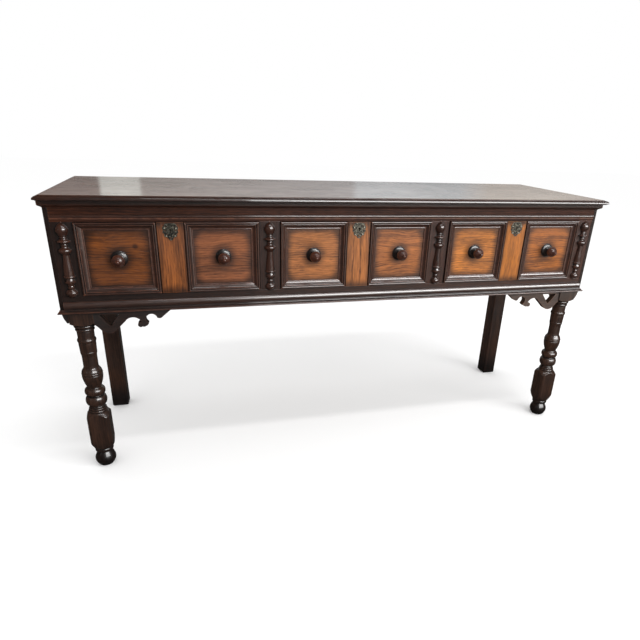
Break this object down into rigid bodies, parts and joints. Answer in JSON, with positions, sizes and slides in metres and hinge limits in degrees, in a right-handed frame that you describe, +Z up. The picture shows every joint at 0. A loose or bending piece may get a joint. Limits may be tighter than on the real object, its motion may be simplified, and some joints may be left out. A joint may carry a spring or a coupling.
{
  "type": "dresser",
  "caption": "Long oak dresser base with a moulded top, panelled drawers with turned knobs, split balusters, pierced brackets, turned front legs and square rear posts.",
  "frame": {"origin": "on the floor, under the middle of the overall width and depth", "axes": "+X to the right along the front, +Y from the front to the back, +Z up"},
  "size_m": [1.732, 0.53, 0.84],
  "materials": {
    "top_oak": "polished",
    "frame_oak": "waxed",
    "moulding_oak": "polished",
    "side_oak": "waxed",
    "leg_oak": "waxed",
    "post_oak": "satin",
    "panel_oak": "waxed",
    "strip_oak": "waxed",
    "lining_oak": "matte",
    "inner_oak": "matte",
    "back_oak": "matte",
    "peg_oak": "waxed",
    "old_brass": "tarnished",
    "lock_iron": "dull"
  },
  "bodies": {
    "carcase": {"top_boards": "top_oak", "top_moulding_front": "moulding_oak", "top_moulding_returns": "moulding_oak", "top_rail": "frame_oak", "frieze_bead": "moulding_oak", "outer_stile_left": "frame_oak", "outer_stile_right": "frame_oak", "inner_stile_left": "frame_oak", "inner_stile_right": "frame_oak", "bottom_rail": "frame_oak", "torus_moulding": "moulding_oak", "base_moulding_front": "moulding_oak", "base_moulding_returns": "moulding_oak", "side_board_left": "side_oak", "side_board_right": "side_oak", "back_boards": "back_oak", "back_rails": "inner_oak", "front_leg_left": "leg_oak", "front_leg_right": "leg_oak", "rear_leg_left": "post_oak", "rear_leg_right": "post_oak", "bracket_left": "leg_oak", "bracket_right": "leg_oak", "bracket_ears": "leg_oak", "outer_balusters": "moulding_oak", "inner_balusters": "moulding_oak", "drawer_runners": "inner_oak", "drawer_stops": "inner_oak", "oak_pegs": "peg_oak"},
    "left_drawer": {"left_drawer_front": "panel_oak", "left_drawer_mouldings": "moulding_oak", "left_drawer_strip": "strip_oak", "left_drawer_escutcheon": "old_brass", "left_drawer_sides": "lining_oak", "left_drawer_back": "lining_oak", "left_drawer_bottom": "lining_oak", "left_drawer_knobs": "moulding_oak", "left_lock_case": "lock_iron"},
    "left_bolt": {"left_lock_bolt": "lock_iron"},
    "middle_drawer": {"middle_drawer_front": "panel_oak", "middle_drawer_mouldings": "moulding_oak", "middle_drawer_strip": "strip_oak", "middle_drawer_escutcheon": "old_brass", "middle_drawer_sides": "lining_oak", "middle_drawer_back": "lining_oak", "middle_drawer_bottom": "lining_oak", "middle_drawer_knobs": "moulding_oak", "middle_lock_case": "lock_iron"},
    "middle_bolt": {"middle_lock_bolt": "lock_iron"},
    "right_drawer": {"right_drawer_front": "panel_oak", "right_drawer_mouldings": "moulding_oak", "right_drawer_strip": "strip_oak", "right_drawer_escutcheon": "old_brass", "right_drawer_sides": "lining_oak", "right_drawer_back": "lining_oak", "right_drawer_bottom": "lining_oak", "right_drawer_knobs": "moulding_oak", "right_lock_case": "lock_iron"},
    "right_bolt": {"right_lock_bolt": "lock_iron"}
  },
  "joints": [
    {"name": "left_drawer_slide", "type": "slide", "parent": "carcase", "child": "left_drawer", "axis": [0, -1, 0], "range_m": [0, 0.3]},
    {"name": "left_bolt_throw", "type": "slide", "parent": "left_drawer", "child": "left_bolt", "axis": [0, 0, 1], "range_m": [0, 0.009]},
    {"name": "middle_drawer_slide", "type": "slide", "parent": "carcase", "child": "middle_drawer", "axis": [0, -1, 0], "range_m": [0, 0.3]},
    {"name": "middle_bolt_throw", "type": "slide", "parent": "middle_drawer", "child": "middle_bolt", "axis": [0, 0, 1], "range_m": [0, 0.009]},
    {"name": "right_drawer_slide", "type": "slide", "parent": "carcase", "child": "right_drawer", "axis": [0, -1, 0], "range_m": [0, 0.3]},
    {"name": "right_bolt_throw", "type": "slide", "parent": "right_drawer", "child": "right_bolt", "axis": [0, 0, 1], "range_m": [0, 0.009]}
  ]
}
